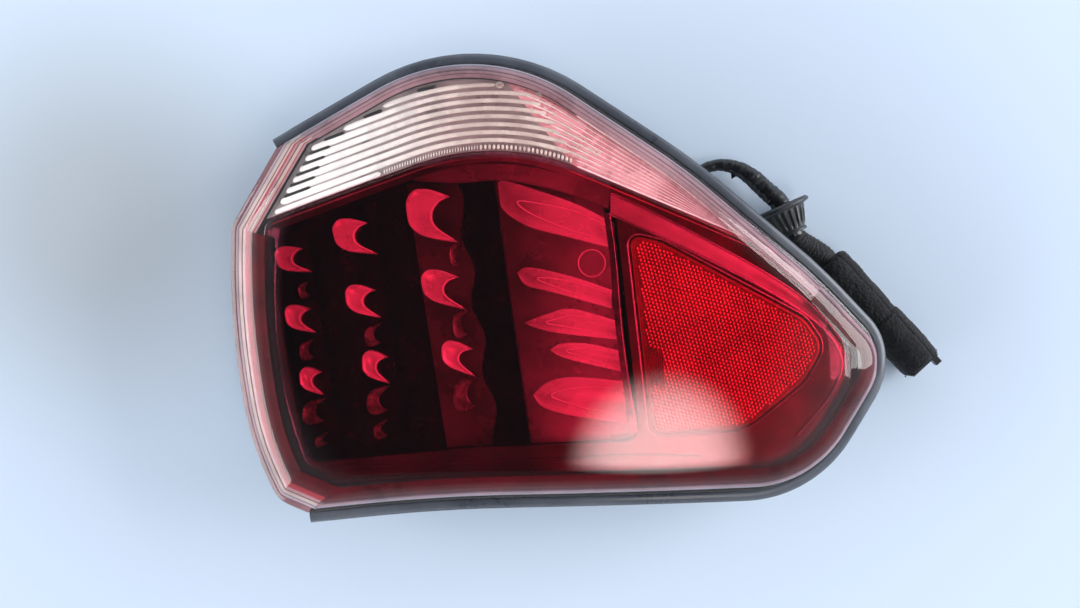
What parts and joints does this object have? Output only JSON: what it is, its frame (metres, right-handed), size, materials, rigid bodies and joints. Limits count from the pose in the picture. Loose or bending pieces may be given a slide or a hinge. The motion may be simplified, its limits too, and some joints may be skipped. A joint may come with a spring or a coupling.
{
  "type": "tail light cluster",
  "caption": "Wrap-around car tail lamp: clear outer lens, red inner lens, ribbed strip, chromed reflectors, studs, taped harness with grommet and padded connector.",
  "frame": {"origin": "under the middle of the lamp, on the surface that its stud tips stand on", "axes": "+X along the lamp's long side towards the harness, +Y towards its upper edge, +Z out through the lens"},
  "size_m": [0.4321, 0.2772, 0.106],
  "materials": {
    "clear_lens": "polished",
    "red_lens": "polished",
    "clear_optic": "ribbed, polished",
    "seal_rubber": "matt",
    "housing_plastic": "fine satin",
    "bezel_black": "gloss",
    "chrome": "vacuum metallised",
    "reflex_red": "faceted",
    "circuit_board": "satin",
    "emitter": "gloss",
    "lead_black": "satin",
    "screw_steel": "zinc",
    "stud_steel": "zinc",
    "amber_glass": "tinted",
    "bulb_glass": "clear",
    "holder_plastic": "satin",
    "vent_rubber": "matt",
    "gasket_foam": "closed-cell foam",
    "cable_tape": "wound tape",
    "cloth_tape": "woven tape",
    "felt_wrap": "coarse felt",
    "grommet_rubber": "satin",
    "connector_plastic": "satin",
    "terminal_brass": "plated"
  },
  "bodies": {
    "root": {"outer_lens": "clear_lens", "red_lens": "red_lens", "ribbed_optic": "clear_optic", "lens_seal": "seal_rubber", "housing": "housing_plastic", "inner_bezel": "bezel_black", "led_reflector": "chrome", "strip_reflector": "chrome", "reflex_reflector": "reflex_red", "board_jumpers": "lead_black", "board_screws": "screw_steel", "bezel_screws": "screw_steel", "turn_bulb": "amber_glass", "turn_holder": "holder_plastic", "turn_holder_seal": "seal_rubber", "reverse_bulb": "bulb_glass", "reverse_holder": "holder_plastic", "reverse_holder_seal": "seal_rubber", "vent_cap_1": "vent_rubber", "vent_cap_2": "vent_rubber", "led_connector": "holder_plastic", "turn_lead": "lead_black", "reverse_lead": "lead_black", "led_lead": "lead_black", "lead_clips": "holder_plastic", "harness_clip": "holder_plastic", "harness": "cable_tape", "grommet": "grommet_rubber", "neck_tape": "cloth_tape", "connector_wrap": "felt_wrap", "connector_housing": "connector_plastic", "connector_terminals": "terminal_brass", "led_board_1": "circuit_board", "led_row_1": "emitter", "led_board_2": "circuit_board", "led_row_2": "emitter", "led_board_3": "circuit_board", "led_row_3": "emitter", "led_board_4": "circuit_board", "led_row_4": "emitter", "stud_upper": "stud_steel", "stud_gasket_upper": "gasket_foam", "stud_lower": "stud_steel", "stud_gasket_lower": "gasket_foam", "stud_outer": "stud_steel", "stud_gasket_outer": "gasket_foam"}
  },
  "joints": []
}
